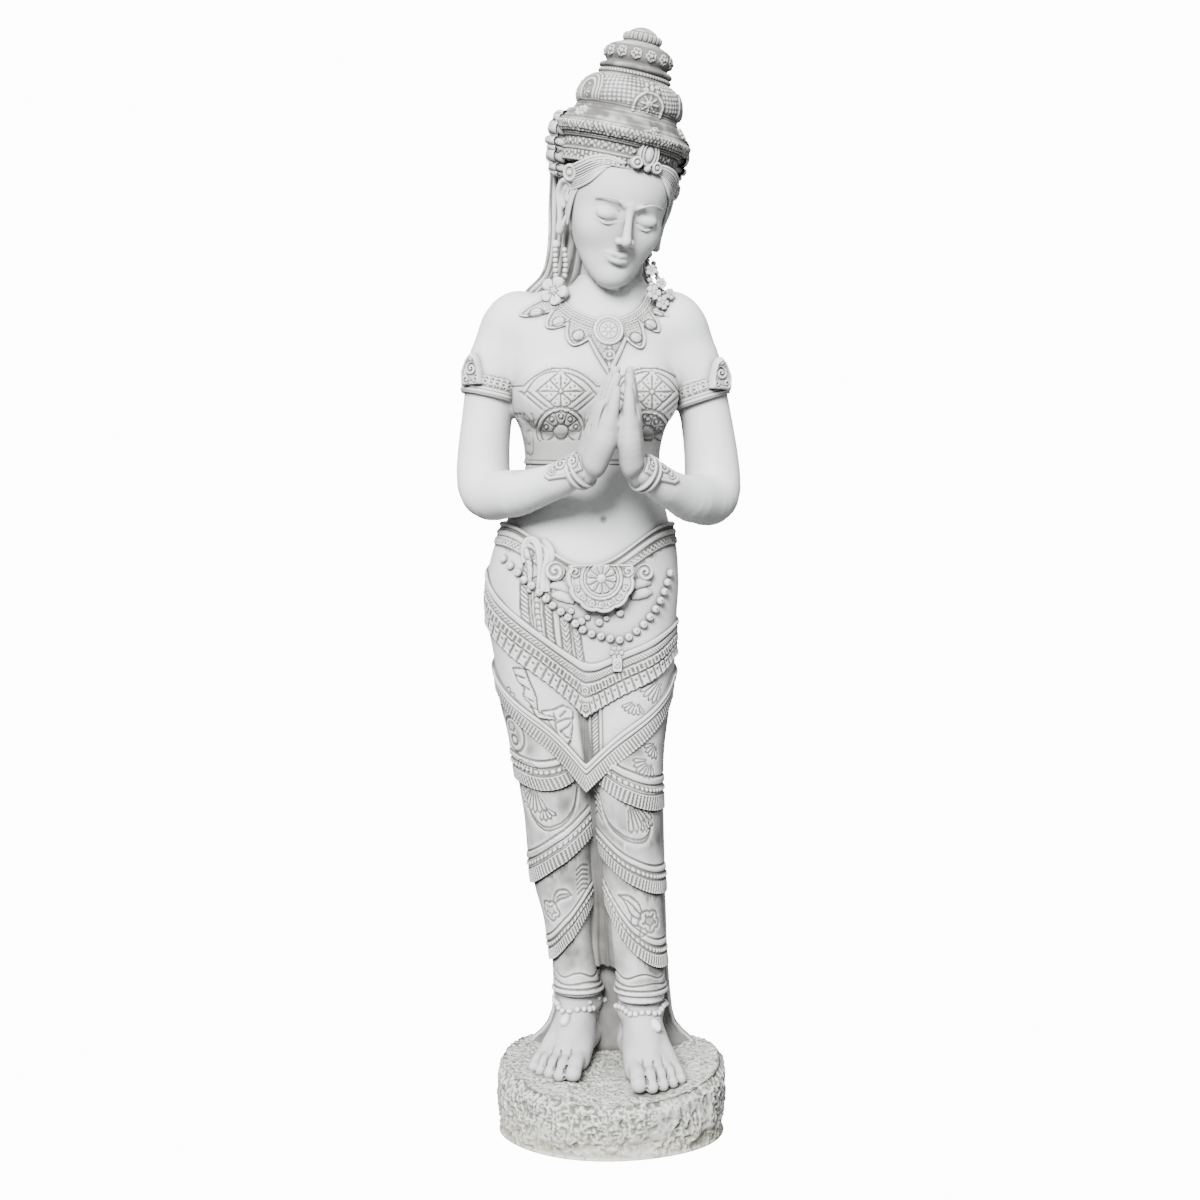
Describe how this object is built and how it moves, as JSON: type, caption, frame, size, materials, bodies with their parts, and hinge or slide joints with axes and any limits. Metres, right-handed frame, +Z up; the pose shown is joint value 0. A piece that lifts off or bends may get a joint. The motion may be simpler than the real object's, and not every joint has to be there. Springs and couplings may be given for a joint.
{
  "type": "praying celestial figure statue",
  "caption": "Standing figure with palms pressed together, tiered crown, draped skirt and jewellery, cast in one with a round rock base that it stands on.",
  "frame": {"origin": "centre of the underside of the rock base, on the floor", "axes": "+Z up; the figure faces -Y, and +X is to the right of someone looking at its front"},
  "size_m": [0.4532, 0.3961, 1.7499],
  "materials": {
    "stone": "matt cast stone with a grey-green wash in the carving"
  },
  "bodies": {
    "root": {"figure": "stone"}
  },
  "joints": []
}
